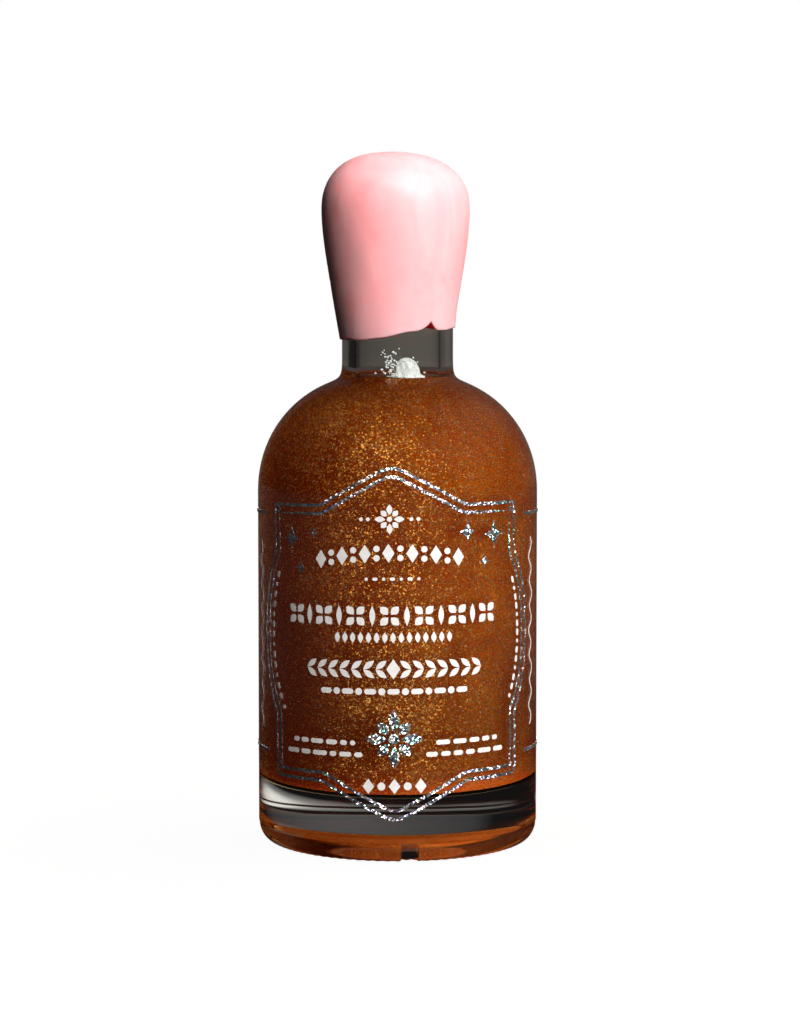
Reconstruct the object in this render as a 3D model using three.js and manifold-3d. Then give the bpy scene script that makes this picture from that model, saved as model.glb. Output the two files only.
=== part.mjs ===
// A 200 ml round-shouldered glass bottle of syrup: heavy clear base, dipped wax seal over the
// mouth, clear wrap-round label with a shaped front panel, and a blob of froth on the syrup.
// Millimetres, +Z up. The bottle stands on Z = 0 with its axis on the Z axis; its front faces -Y.

import * as THREE from 'three';
import { mergeVertices } from 'three/addons/utils/BufferGeometryUtils.js';
import Module from 'manifold-3d';

// Glass, outside
const BODY_R = 31.25;
const RING_INNER_R = 24.8;
const RING_OUTER_R = 27.7;
const HEEL_H = 4.3;
const MOULD_STEP = 0.12;
const MOULD_STEP_H = 0.25;
const PUNT_H = 4.7;
const PUNT_FLATNESS = 8;
const SHOULDER_Z = 78.45;
const SHOULDER_CORE_R = 5.05;
const SHOULDER_RISE = 26.05;
const SHOULDER_POWER = 2.05;
const NECK_R = 12.4;
const NECK_BLEND = { from: 102, reach: 2.1, low: 102.8, to: 111.5 };
const MOUTH_Z = 141;
const MOUTH_ROUND = 1;

// Glass, inside
const WALL = 3.3;
const BORE_R = 9.3;
const FLOOR_Z = 13;
const FLOOR_DOME = 1.6;
const FLOOR_FILLET = 8;
const BORE_BLEND = { from: 99.9, reach: 0.8, low: 100.9, to: 104.2 };

// Locating notch in the heel, a little to the right of the front
const NOTCH = { width: 3.8, height: 4.05, innerR: 26.6, depth: 8, azimuth: 5.1, below: 1 };

// Syrup
const SYRUP_GAP = 0.15;
const SYRUP_LEVEL = 103.3;

// Froth on the syrup, against the front of the bore
const FROTH = { x: 1.2, y: -6.4, halfWidth: 3.6, halfDepth: 2.4, height: 4.7, lift: 0.1 };
const FROTH_PROFILE = [[0, 0], [1, 0], [0.98, 0.12], [0.74, 0.26], [0.66, 0.5], [0.5, 0.8], [0.24, 0.97], [0, 1]];
const FROTH_LUMPS = { count: 5, depth: 0.07 };

// Wax seal
const WAX_GAP = 0.1;
const WAX_RIM_R = 12.95;
const WAX_WIDEST = { r: 16.48, z: 140.6 };
const WAX_TAPER = { firstR: 13.9, firstZ: 122, lastZ: 133 };
const WAX_TOP_Z = 153.6;
const WAX_DOME_POWER = 2.4;
const WAX_LEAN = -0.42;
const WAX_APEX_SHIFT = -0.8;
const WAX_APEX_FROM = 145;
const RIM = { mean: 113.4, swing: 1.5, lowAt: -55, swell: 0.7, swellAt: 25, swellWidth: 35, fadeTo: 124 };
const DRIP_NOTCH = { at: 34.5, halfWidth: 9, height: 1.8 };

// Label film: a band all round, and a front panel with a peak above and below it
const FILM_GAP = 0.05;
const FILM_THICKNESS = 0.15;
const BAND = { low: 20.2, high: 76.4 };
const PANEL = { x: -1, halfArc: 31.5, bendArc: 16.4, low: 16.4, high: 78, bottom: 8.2, top: 86.4, tipArc: 2.5 };

// Fineness
const SEGMENTS = 56;
const WAX_SEGMENTS = 64;
const FROTH_SEGMENTS = 20;
const MERGE_TOLERANCE = 1e-4;

const wasm = await Module();
wasm.setup();

const point = (r, z) => new THREE.Vector2(r, z);
const degrees = THREE.MathUtils.degToRad;

// A smooth hill: full height in the middle, level again at its edge
const hill = (share) => 0.5 * (1 + Math.cos(Math.PI * Math.min(Math.abs(share), 1)));

function domePoints(edgeR, edgeZ, rise, steps) {
  const points = [];
  for (let i = 0; i <= steps; i += 1) {
    const share = i / steps;
    points.push(point(edgeR * share, edgeZ + rise * hill(share)));
  }
  return points;
}

// The push-up under the base: nearly flat in the middle, and steep towards the standing ring
function puntPoints(steps) {
  const points = [];
  for (let i = 0; i <= steps; i += 1) {
    const share = Math.sin((Math.PI / 2) * (i / steps));
    points.push(point(RING_INNER_R * share, PUNT_H * (1 - share ** PUNT_FLATNESS) ** (1 / 3)));
  }
  return points;
}

// A quarter ellipse from its lowest point to its outermost one
function filletPoints(centreR, centreZ, radiusR, radiusZ, steps) {
  const points = [];
  for (let i = 0; i <= steps; i += 1) {
    const angle = (Math.PI / 2) * (i / steps);
    points.push(point(centreR + radiusR * Math.sin(angle), centreZ - radiusZ * Math.cos(angle)));
  }
  return points;
}

// Radius of the shoulder at height z, on a surface that lies "inset" inside the outer one
function shoulderRadius(z, inset) {
  const share = Math.max(z - SHOULDER_Z, 0) / (SHOULDER_RISE - inset);
  const span = BODY_R - inset - SHOULDER_CORE_R;
  return SHOULDER_CORE_R + span * (1 - share ** SHOULDER_POWER) ** (1 / SHOULDER_POWER);
}

// The shoulder's points from the body up to height topZ, closer together where it turns in
function shoulderPoints(topZ, inset, steps) {
  const points = [];
  for (let i = 0; i <= steps; i += 1) {
    const z = SHOULDER_Z + (topZ - SHOULDER_Z) * Math.sin((Math.PI / 2) * (i / steps));
    points.push(point(shoulderRadius(z, inset), z));
  }
  return points;
}

// The hollow curve that leads from the shoulder into a straight neck
function blendPoints(blend, neckR, inset, steps) {
  const start = point(shoulderRadius(blend.from, inset), blend.from);
  const step = 0.01;
  const slope = (start.x - shoulderRadius(blend.from - step, inset)) / step;
  const along = point(start.x + slope * blend.reach, start.y + blend.reach);
  const curve = new THREE.CubicBezierCurve(start, along, point(neckR, blend.low), point(neckR, blend.to));
  return curve.getPoints(steps).slice(1);
}

// The inside of the bottle from the middle of its floor up to the neck, "gap" clear of the glass
function cavityPoints(gap) {
  const inset = WALL + gap;
  const cornerR = BODY_R - WALL - FLOOR_FILLET;
  const cornerZ = FLOOR_Z + FLOOR_FILLET;
  const fillet = FLOOR_FILLET - gap;
  const blend = { ...BORE_BLEND, from: BORE_BLEND.from - gap };
  return [
    ...domePoints(cornerR, FLOOR_Z + gap, FLOOR_DOME, 4),
    ...filletPoints(cornerR, cornerZ, fillet, fillet, 5).slice(1),
    ...shoulderPoints(blend.from, inset, 7),
    ...blendPoints(blend, BORE_R - gap, inset, 6),
  ];
}

function glassPoints() {
  const heelR = BODY_R - MOULD_STEP - RING_OUTER_R;
  const outside = [
    ...puntPoints(8),
    ...filletPoints(RING_OUTER_R, HEEL_H, heelR, HEEL_H, 5),
    point(BODY_R, HEEL_H + MOULD_STEP_H),
    ...shoulderPoints(NECK_BLEND.from, 0, 10),
    ...blendPoints(NECK_BLEND, NECK_R, 0, 8),
    point(NECK_R, MOUTH_Z - MOUTH_ROUND),
    point(NECK_R - MOUTH_ROUND, MOUTH_Z),
  ];
  const inside = [...cavityPoints(0), point(BORE_R, MOUTH_Z)];
  return [...outside, ...inside.reverse()];
}

// The part of the cavity's profile below the level, and the level's own edge
function syrupPoints() {
  const wall = cavityPoints(SYRUP_GAP);
  const above = wall.findIndex((p) => p.y > SYRUP_LEVEL);
  const [last, next] = [wall[above - 1], wall[above]];
  const share = (SYRUP_LEVEL - last.y) / (next.y - last.y);
  return [...wall.slice(0, above), last.clone().lerp(next, share), point(0, SYRUP_LEVEL)];
}

function lathe(points, segments) {
  return new THREE.LatheGeometry(points, segments).rotateX(Math.PI / 2);
}

// A closed solid from a geometry whose seam and axis points are still doubled
function solidOf(geometry) {
  geometry.deleteAttribute('normal');
  geometry.deleteAttribute('uv');
  const merged = mergeVertices(geometry, MERGE_TOLERANCE);
  const index = merged.index.array;
  const kept = [];
  for (let i = 0; i < index.length; i += 3) {
    const [a, b, c] = [index[i], index[i + 1], index[i + 2]];
    if (a !== b && b !== c && c !== a) kept.push(a, b, c);
  }
  const vertProperties = Float32Array.from(merged.attributes.position.array);
  return new wasm.Manifold(new wasm.Mesh({ numProp: 3, vertProperties, triVerts: Uint32Array.from(kept) }));
}

function geometryOf(solid) {
  const mesh = solid.getMesh();
  const geometry = new THREE.BufferGeometry();
  geometry.setAttribute('position', new THREE.BufferAttribute(mesh.vertProperties, 3));
  geometry.setIndex(new THREE.BufferAttribute(mesh.triVerts, 1));
  geometry.computeVertexNormals();
  return geometry;
}

// Moves every vertex by a function of its place
function moveVertices(geometry, move) {
  const position = geometry.attributes.position;
  const vertex = new THREE.Vector3();
  for (let i = 0; i < position.count; i += 1) {
    vertex.fromBufferAttribute(position, i);
    move(vertex);
    position.setXYZ(i, vertex.x, vertex.y, vertex.z);
  }
  return geometry;
}

// Degrees round the bottle from the front, positive towards +X
const azimuthOf = (vertex) => THREE.MathUtils.radToDeg(Math.atan2(vertex.x, -vertex.y));

function notchSolid() {
  const box = new THREE.BoxGeometry(NOTCH.width, NOTCH.depth, NOTCH.height + NOTCH.below);
  box.translate(0, -(NOTCH.innerR + NOTCH.depth / 2), (NOTCH.height - NOTCH.below) / 2);
  return solidOf(box.rotateZ(degrees(NOTCH.azimuth)));
}

function glassSolid() {
  return solidOf(lathe(glassPoints(), SEGMENTS)).subtract(notchSolid());
}

function syrupSolid() {
  return solidOf(lathe(syrupPoints(), SEGMENTS));
}

function frothSolid() {
  const points = FROTH_PROFILE.map(([r, z]) => point(r, z));
  const geometry = moveVertices(lathe(points, FROTH_SEGMENTS), (vertex) => {
    const turn = degrees(azimuthOf(vertex)) * FROTH_LUMPS.count;
    const lump = 1 + FROTH_LUMPS.depth * Math.sin(turn) * Math.sin(Math.PI * vertex.z);
    vertex.set(vertex.x * lump * FROTH.halfWidth, vertex.y * lump * FROTH.halfDepth, vertex.z * FROTH.height);
  });
  return solidOf(geometry.translate(FROTH.x, FROTH.y, SYRUP_LEVEL + FROTH.lift));
}

// Height of the wax's lower edge round the neck: a slow swing, a swell at the front, one V notch
function rimHeight(azimuth) {
  const swing = -RIM.swing * Math.cos(degrees(azimuth - RIM.lowAt));
  const swell = RIM.swell * Math.exp(-(((azimuth - RIM.swellAt) / RIM.swellWidth) ** 2));
  const share = Math.abs(azimuth - DRIP_NOTCH.at) / DRIP_NOTCH.halfWidth;
  return RIM.mean + swing + swell + DRIP_NOTCH.height * Math.max(0, 1 - share);
}

function waxPoints() {
  const socketR = NECK_R + WAX_GAP;
  const socketTop = MOUTH_Z + WAX_GAP;
  const widest = point(WAX_WIDEST.r, WAX_WIDEST.z);
  const side = new THREE.CubicBezierCurve(
    point(WAX_RIM_R, RIM.mean),
    point(WAX_TAPER.firstR, WAX_TAPER.firstZ),
    point(WAX_WIDEST.r, WAX_TAPER.lastZ),
    widest,
  );
  const dome = [];
  const steps = 9;
  for (let i = 1; i <= steps; i += 1) {
    const share = Math.sin((Math.PI / 2) * (i / steps));
    const r = WAX_WIDEST.r * (1 - share ** WAX_DOME_POWER) ** (1 / WAX_DOME_POWER);
    dome.push(point(i === steps ? 0 : r, WAX_WIDEST.z + (WAX_TOP_Z - WAX_WIDEST.z) * share));
  }
  return [point(0, socketTop), point(socketR, socketTop), point(socketR, RIM.mean), ...side.getPoints(9), ...dome];
}

// The dipped wax leans a little to one side, its apex more so, and its lower edge is uneven
function waxSolid() {
  const socketR = NECK_R + 2 * WAX_GAP;
  const geometry = moveVertices(lathe(waxPoints(), WAX_SEGMENTS), (vertex) => {
    const azimuth = azimuthOf(vertex);
    const outside = Math.hypot(vertex.x, vertex.y) > socketR || vertex.z > WAX_APEX_FROM;
    const low = THREE.MathUtils.clamp((RIM.fadeTo - vertex.z) / (RIM.fadeTo - RIM.mean), 0, 1);
    const high = THREE.MathUtils.clamp((vertex.z - WAX_APEX_FROM) / (WAX_TOP_Z - WAX_APEX_FROM), 0, 1);
    if (outside) vertex.x += WAX_LEAN * (1 - low ** 2) + WAX_APEX_SHIFT * high ** 2;
    vertex.z += (rimHeight(azimuth) - RIM.mean) * low;
  });
  return solidOf(geometry);
}

// The film's closed section: up its outer face and down its inner one
function filmPoints() {
  const offset = (p, gap) => point(p.x + gap, p.y);
  const line = [point(BODY_R, PANEL.bottom), ...shoulderPoints(PANEL.top, 0, 4)];
  const outer = line.map((p) => offset(p, FILM_GAP + FILM_THICKNESS));
  const inner = line.map((p) => offset(p, FILM_GAP)).reverse();
  return [...outer, ...inner, outer[0].clone()];
}

// The front panel's outline, as it shows from the front, with an arc's length turned into width
function panelOutline() {
  const width = (arc) => BODY_R * Math.sin(arc / BODY_R);
  const [half, bend, tip] = [PANEL.halfArc, PANEL.bendArc, PANEL.tipArc].map(width);
  const right = [[tip, PANEL.bottom], [bend, PANEL.low], [half, PANEL.low], [half, PANEL.high],
    [bend, PANEL.high], [tip, PANEL.top]];
  const left = right.map(([x, z]) => [-x, z]).reverse();
  return new THREE.Shape([...right, ...left].map(([x, z]) => point(x + PANEL.x, z)));
}

function filmSolid() {
  const shell = solidOf(lathe(filmPoints(), SEGMENTS));
  const reach = 2 * BODY_R;
  const panel = new THREE.ExtrudeGeometry(panelOutline(), { depth: reach, bevelEnabled: false });
  const band = new THREE.CylinderGeometry(reach, reach, BAND.high - BAND.low, SEGMENTS);
  band.rotateX(Math.PI / 2).translate(0, 0, (BAND.high + BAND.low) / 2);
  return shell.intersect(solidOf(panel.rotateX(Math.PI / 2)).add(solidOf(band)));
}

const materials = {
  glass: { color: 0xdfe5e3, roughness: 0.03, metalness: 0, transparent: true, opacity: 0.35 },
  syrup: { color: 0x7a3808, roughness: 0.12, metalness: 0 },
  froth: { color: 0xe9e6e0, roughness: 0.6, metalness: 0 },
  wax: { color: 0xedb9be, roughness: 0.3, metalness: 0 },
  film: { color: 0xc9ccd0, roughness: 0.15, metalness: 0, transparent: true, opacity: 0.3 },
};

function addPiece(group, name, solid, look) {
  const mesh = new THREE.Mesh(geometryOf(solid), new THREE.MeshStandardMaterial(look));
  mesh.name = name;
  group.add(mesh);
}

const bottle = new THREE.Group();
addPiece(bottle, 'glass_bottle', glassSolid(), materials.glass);
addPiece(bottle, 'syrup', syrupSolid(), materials.syrup);
addPiece(bottle, 'froth', frothSolid(), materials.froth);
addPiece(bottle, 'wax_seal', waxSolid(), materials.wax);
addPiece(bottle, 'label_film', filmSolid(), materials.film);

export default bottle;
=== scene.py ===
"""Looks for a bottle of glittering syrup: glass, syrup, froth, wax seal and printed label film.

Lengths are in millimetres until mesh_object() turns them into metres. Azimuths are in radians
round the bottle's axis, 0 at the front (-Y) and positive towards +X.
"""

import math

import bmesh
import bpy
import numpy as np
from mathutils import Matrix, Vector


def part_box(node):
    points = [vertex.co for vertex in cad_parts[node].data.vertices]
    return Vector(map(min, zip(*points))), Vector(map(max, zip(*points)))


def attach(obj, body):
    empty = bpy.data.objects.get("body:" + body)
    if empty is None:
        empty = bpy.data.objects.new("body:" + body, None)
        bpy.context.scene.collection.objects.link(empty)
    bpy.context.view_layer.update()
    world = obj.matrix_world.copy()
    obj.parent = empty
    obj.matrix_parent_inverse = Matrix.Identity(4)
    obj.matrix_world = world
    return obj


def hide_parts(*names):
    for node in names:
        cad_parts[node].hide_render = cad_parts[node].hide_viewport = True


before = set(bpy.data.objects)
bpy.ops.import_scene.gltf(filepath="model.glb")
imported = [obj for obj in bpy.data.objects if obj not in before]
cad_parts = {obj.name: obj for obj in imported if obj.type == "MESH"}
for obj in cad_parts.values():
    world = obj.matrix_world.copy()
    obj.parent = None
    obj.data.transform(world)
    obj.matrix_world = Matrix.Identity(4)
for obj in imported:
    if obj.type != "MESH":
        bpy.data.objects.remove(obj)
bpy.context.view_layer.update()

MM = 0.001
TURN = 2 * math.pi

_, glass_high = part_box("glass_bottle")
_, wax_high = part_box("wax_seal")
_, syrup_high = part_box("syrup")
froth_low, froth_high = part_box("froth")

# Glass, outside and inside
BODY_R = glass_high.x / MM
MOUTH_Z = glass_high.z / MM
RING_INNER_R = 24.8
RING_OUTER_R = 27.7
HEEL_H = 4.3
MOULD_STEP = 0.12
MOULD_STEP_H = 0.25
PUNT_H = 4.7
PUNT_FLATNESS = 8
SHOULDER_Z = 78.45
SHOULDER_CORE_R = 5.05
SHOULDER_RISE = 26.05
SHOULDER_POWER = 2.05
NECK_R = 12.4
NECK_BLEND = {"start": 102, "reach": 2.1, "low": 102.8, "end": 111.5}
WALL = 3.3
BORE_R = 9.3
FLOOR_Z = 13
FLOOR_DOME = 1.6
FLOOR_FILLET = 8
BORE_BLEND = {"start": 99.5, "reach": 0.7, "low": 100.4, "end": 102.4}
MOUTH_ROUND = 1
KNURLS = 84
KNURL_H = 0.2
NOTCH = {"width": 3.8, "height": 4.05, "inner_r": 26.6, "depth": 8, "degrees": 5.1, "round": 0.5}

# Syrup, its cloud of glitter and its surface. The photo's level is a little below the solid's.
LEVEL_DROP = 1.2
LEVEL = syrup_high.z / MM - LEVEL_DROP
INTO_WALL = 0.1
CLOUD_DEPTH = 2.2
CLOUD_BELOW_LEVEL = 0.5
CLOUD_ABOVE_FLOOR = 0.8
CLOUD_WIDER_LOW = 0.02
CLOUD_CELLS = 4200.0
CLOUD_RIPPLE = 0.28
CLOUD_GOLD_ABOVE = 1.22
GLITTER_ABOVE_FLOOR = 2.6
GLITTER_BELOW_LEVEL = 0.3
MENISCUS_RISE = 0.4
SURFACE_SKIN = 0.12
SKIN_LIFT = 0.02
FLAKE_THICKNESS = 0.012
GLITTER = {
    "glitter_fine": {
        "seed": 11, "count": 22000, "sizes": (0.14, 0.22), "depths": (0.06, 1.2), "tumble": 2.0,
        "tone": (0.84, 0.66, 0.42), "roughness": 0.36,
    },
    "glitter_medium": {
        "seed": 12, "count": 42000, "sizes": (0.20, 0.30), "depths": (0.04, 0.9), "tumble": 1.6,
        "tone": (0.96, 0.80, 0.66), "roughness": 0.29,
    },
    "glitter_bright": {
        "seed": 13, "count": 46000, "sizes": (0.26, 0.36), "depths": (0.02, 0.25), "tumble": 1.5,
        "tone": (1.0, 0.90, 0.80), "roughness": 0.25,
    },
}

# Froth, and the bubbles on the inside of the neck, each with its azimuth, height and radius
FROTH_BLOB = {"aside": 0.6, "forward": 0.35, "drop": 0.75, "stretch": 1.16}
CLUSTER = {
    "seed": 17, "count": 52, "middle": -0.17, "scatter": 0.08, "above_level": 0.9, "tall": 6.2,
    "radii": (0.12, 0.36),
}
SINGLE_BUBBLES = (
    (0.03, 110.0, 0.2), (0.13, 107.2, 0.26), (0.35, 108.0, 0.22), (0.45, 107.0, 0.2),
    (0.62, 104.4, 0.26), (-0.5, 104.2, 0.24), (-0.3, 109.6, 0.16),
)

# Label film and print
FILM_GAP = 0.05
FILM_THICKNESS = 0.09
BAND_LOW, BAND_HIGH = 20.2, 76.4
PANEL = {"half": 31.5, "bend": 16.4, "low": 16.4, "high": 78.0, "bottom": 8.2, "top": 86.4, "tip": 2.2}
LABEL_SHIFT = -0.9
LABEL_MIDDLE = 48
LABEL_ROLL = math.radians(0.55)
FILM_LAP = 5.0
FILM_COLUMNS, FILM_ROWS = 560, 56
INK_LIFT = 0.005
INK_THICKNESS = 0.04
FOIL_WIDTH = 0.68
FOIL_SPACING = 1.75
STAR_HOLLOW = 3.8
PRINT_STEP = 1.0

# Wax
WAX_TOP = wax_high.z / MM
WAX_SOCKET_R = NECK_R - 0.05
WAX_RIM_R = 12.95
WAX_WIDEST = (16.48, 140.6)
WAX_TAPER = {"first_r": 13.9, "first_z": 122, "last_z": 133}
WAX_DOME_POWER = 2.4
WAX_LEAN = -0.42
WAX_APEX_SHIFT = -0.8
WAX_APEX_FROM = 145
WAX_LIP_H = 0.3
WAX_FOLD = {"height": 0.07, "at": -0.42, "lean": -0.028, "from_z": 128, "width": 0.13}
WAX_RUN = {"height": 0.05, "at": 0.30, "sway": 0.05, "width": 0.2}
RIM = {
    "mean": 113.4, "swing": 1.5, "low_at": -55, "swell": 0.7, "swell_at": 25, "swell_width": 35,
    "fade": 124,
}
DRIP_NOTCH = {"at": 35, "left": 21.0, "right": 8.0, "height": 1.9, "fade": 4.5}

# Segments round the bottle
SEGMENTS = 288
BLACK = (0.0, 0.0, 0.0)


def lerp(a, b, share):
    return a + (b - a) * share


def hill(share):
    """A smooth hill: 1 in the middle, level again at 0 where share reaches 1."""
    return 0.5 * (1 + np.cos(np.pi * np.clip(np.abs(share), 0, 1)))


def smooth(low, high, value):
    share = np.clip((value - low) / (high - low), 0, 1)
    return share * share * (3 - 2 * share)


# Meshes from arrays


def new_object(name, data):
    made = bpy.data.objects.new(name, data)
    bpy.context.scene.collection.objects.link(made)
    return made


def mesh_object(name, points, faces, materials, face_slots=None, flat=False):
    """A new object from points in millimetres."""
    mesh = bpy.data.meshes.new(name)
    mesh.from_pydata((np.asarray(points, float) * MM).tolist(), [], faces)
    for material in materials:
        mesh.materials.append(material)
    if face_slots is not None:
        mesh.polygons.foreach_set("material_index", np.asarray(face_slots, np.int32))
    if not flat:
        mesh.polygons.foreach_set("use_smooth", np.ones(len(mesh.polygons), bool))
    mesh.update()
    return new_object(name, mesh)


def revolve(profile, segments, slots=None):
    """Points, faces and face slots of a closed surface of revolution. A radius of 0 is a pole."""
    points, faces, face_slots, rings = [], [], [], []
    azimuths = np.arange(segments) * TURN / segments
    for r, z in profile:
        first = len(points)
        if r < 1e-6:
            points.append((0, 0, z))
            rings.append([first] * segments)
        else:
            points.extend((r * math.sin(a), -r * math.cos(a), z) for a in azimuths)
            rings.append(list(range(first, first + segments)))
    for i, (lower, upper) in enumerate(zip(rings, rings[1:])):
        for j in range(segments):
            k = (j + 1) % segments
            face = [lower[j], lower[k], upper[k], upper[j]]
            face = [p for n, p in enumerate(face) if p not in face[:n]]
            faces.append(face)
            face_slots.append(slots[i] if slots else 0)
    return np.array(points, float), faces, face_slots


def polar(points):
    """Each point's distance from the bottle's axis, and its azimuth."""
    x, y = points[:, 0], points[:, 1]
    return np.hypot(x, y), np.arctan2(x, -y)


def points_and_faces(shape):
    """What a bmesh holds, as lists. The bmesh is freed."""
    points = [v.co[:] for v in shape.verts]
    faces = [[v.index for v in f.verts] for f in shape.faces]
    shape.free()
    return points, faces


def bezier(a, b, c, d, steps):
    """Points of a cubic curve after its first one."""
    points = []
    for i in range(1, steps + 1):
        t = i / steps
        weights = ((1 - t) ** 3, 3 * t * (1 - t) ** 2, 3 * t * t * (1 - t), t**3)
        points.append(tuple(sum(w * p[n] for w, p in zip(weights, (a, b, c, d))) for n in (0, 1)))
    return points


# The bottle's profiles, as radius and height


def dome_points(edge_r, edge_z, rise, steps):
    return [(edge_r * i / steps, edge_z + rise * float(hill(i / steps))) for i in range(steps + 1)]


def punt_points(steps):
    """The push-up: nearly flat in the middle, and steep towards the standing ring."""
    shares = [math.sin(math.pi / 2 * i / steps) for i in range(steps + 1)]
    return [(RING_INNER_R * s, PUNT_H * (1 - s**PUNT_FLATNESS) ** (1 / 3)) for s in shares]


def fillet_points(centre_r, centre_z, radius_r, radius_z, steps):
    turns = [math.pi / 2 * i / steps for i in range(steps + 1)]
    return [(centre_r + radius_r * math.sin(a), centre_z - radius_z * math.cos(a)) for a in turns]


def shoulder_radius(z, inset=0.0):
    share = np.clip((z - SHOULDER_Z) / (SHOULDER_RISE - inset), 0, 1)
    span = BODY_R - inset - SHOULDER_CORE_R
    return SHOULDER_CORE_R + span * (1 - share**SHOULDER_POWER) ** (1 / SHOULDER_POWER)


def shoulder_points(top_z, inset, steps):
    heights = [lerp(SHOULDER_Z, top_z, math.sin(math.pi / 2 * i / steps)) for i in range(steps + 1)]
    return [(float(shoulder_radius(z, inset)), z) for z in heights]


def wall_points(low_z, high_z, radius, steps):
    return [(radius, lerp(low_z, high_z, i / steps)) for i in range(1, steps)]


def blend_points(blend, neck_r, inset, steps):
    step = 0.01
    start_r = float(shoulder_radius(blend["start"], inset))
    slope = (start_r - float(shoulder_radius(blend["start"] - step, inset))) / step
    along = (start_r + slope * blend["reach"], blend["start"] + blend["reach"])
    return bezier((start_r, blend["start"]), along, (neck_r, blend["low"]), (neck_r, blend["end"]), steps)


def cavity_points(gap):
    """The inside of the bottle, "gap" clear of the glass, from the middle of its floor to the neck."""
    inset = WALL + gap
    corner_r = BODY_R - WALL - FLOOR_FILLET
    corner_z = FLOOR_Z + FLOOR_FILLET
    fillet = FLOOR_FILLET - gap
    blend = dict(BORE_BLEND, start=BORE_BLEND["start"] - gap)
    return [
        *dome_points(corner_r, FLOOR_Z + gap, FLOOR_DOME, 14),
        *fillet_points(corner_r, corner_z, fillet, fillet, 16)[1:],
        *wall_points(corner_z, SHOULDER_Z, BODY_R - inset, 12),
        *shoulder_points(blend["start"], inset, 26),
        *blend_points(blend, BORE_R - gap, inset, 14),
    ]


def below(profile, level):
    """The part of a rising profile up to a level, and the point at that level."""
    kept = [p for p in profile if p[1] < level]
    last, following = profile[len(kept) - 1], profile[len(kept)]
    share = (level - last[1]) / (following[1] - last[1])
    return kept + [(lerp(last[0], following[0], share), level)]


# Materials


def new_material(name):
    material = bpy.data.materials.new(name)
    material.use_nodes = True
    tree = material.node_tree
    shader = tree.nodes["Principled BSDF"]
    return material, tree, shader


def add(tree, kind, **settings):
    """A new node. Settings named after an input set it, and the others set the node's own values."""
    node = tree.nodes.new(kind)
    for key, value in settings.items():
        label = key.replace("_", " ")
        if label in node.inputs:
            node.inputs[label].default_value = value
        else:
            setattr(node, key, value)
    return node


def set_inputs(node, values):
    for key, value in values.items():
        node.inputs[key].default_value = value


def feed(tree, node, values):
    """Fills a node's inputs in order. Each value is a constant or another node's output."""
    for socket, value in zip(node.inputs, values):
        if isinstance(value, bpy.types.NodeSocket):
            tree.links.new(value, socket)
        else:
            socket.default_value = value


def maths(tree, operation, *values):
    node = add(tree, "ShaderNodeMath", operation=operation)
    feed(tree, node, values)
    return node.outputs[0]


def vector_maths(tree, operation, *values):
    node = add(tree, "ShaderNodeVectorMath", operation=operation)
    feed(tree, node, values)
    return node.outputs


def mixed(tree, blend, first, second):
    """Two colours blended in full."""
    node = add(tree, "ShaderNodeMix", data_type="RGBA", blend_type=blend)
    node.inputs["Factor"].default_value = 1.0
    tree.links.new(first, node.inputs[6])
    tree.links.new(second, node.inputs[7])
    return node.outputs[2]


def cell_pattern(tree, place, scale):
    """Small cells, their random colour and that colour's three parts."""
    cells = add(tree, "ShaderNodeTexVoronoi", Scale=scale)
    tree.links.new(place, cells.inputs["Vector"])
    parts = add(tree, "ShaderNodeSeparateColor")
    tree.links.new(cells.outputs["Color"], parts.inputs[0])
    return cells, parts.outputs


def by_ray(tree, kind, otherwise, chosen, output="Material Output"):
    """Uses one shader for rays of a kind and another for all the rest."""
    path = add(tree, "ShaderNodeLightPath")
    mix = add(tree, "ShaderNodeMixShader")
    feed(tree, mix, (path.outputs[kind], otherwise.outputs[0], chosen.outputs[0]))
    tree.links.new(mix.outputs[0], tree.nodes[output].inputs["Surface"])


def object_place(tree, scale=(1, 1, 1)):
    """The object's own coordinates in metres, scaled."""
    place = add(tree, "ShaderNodeTexCoord")
    mapping = add(tree, "ShaderNodeMapping")
    mapping.inputs["Scale"].default_value = scale
    tree.links.new(place.outputs["Object"], mapping.inputs["Vector"])
    return mapping.outputs["Vector"]


def noise(tree, place, scale, detail=3.0, roughness=0.5, distortion=0.0):
    node = add(tree, "ShaderNodeTexNoise")
    set_inputs(node, {"Scale": scale, "Detail": detail, "Roughness": roughness, "Distortion": distortion})
    tree.links.new(place, node.inputs["Vector"])
    return node.outputs["Fac"]


def ramp(tree, value, stops):
    """A colour ramp from (position, colour) stops."""
    node = add(tree, "ShaderNodeValToRGB")
    elements = node.color_ramp.elements
    while len(elements) < len(stops):
        elements.new(0.5)
    for element, (position, colour) in zip(elements, stops):
        element.position = position
        element.color = (*colour, 1)
    tree.links.new(value, node.inputs["Fac"])
    return node.outputs["Color"]


def spread(tree, value, low, high, side="To"):
    """Maps a value from 0..1 to low..high, or with side "From" from low..high to 0..1."""
    node = add(tree, "ShaderNodeMapRange")
    set_inputs(node, {side + " Min": low, side + " Max": high})
    tree.links.new(value, node.inputs["Value"])
    return node.outputs["Result"]


def bump(tree, shader, height, strength, distance):
    node = add(tree, "ShaderNodeBump", Strength=strength, Distance=distance)
    tree.links.new(height, node.inputs["Height"])
    tree.links.new(node.outputs["Normal"], shader.inputs["Normal"])


def let_lamps_through(tree, shader, tint):
    """Clear glass casts a clear shadow: lamps shine through it onto what it holds."""
    clear = add(tree, "ShaderNodeBsdfTransparent", Color=(*tint, 1))
    by_ray(tree, "Is Shadow Ray", shader, clear)


def glass_material(name, ior, tint):
    material, tree, shader = new_material(name)
    set_inputs(shader, {"Base Color": (*tint, 1), "IOR": ior, "Transmission Weight": 1.0, "Roughness": 0.0})
    let_lamps_through(tree, shader, tint)
    return material


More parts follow.
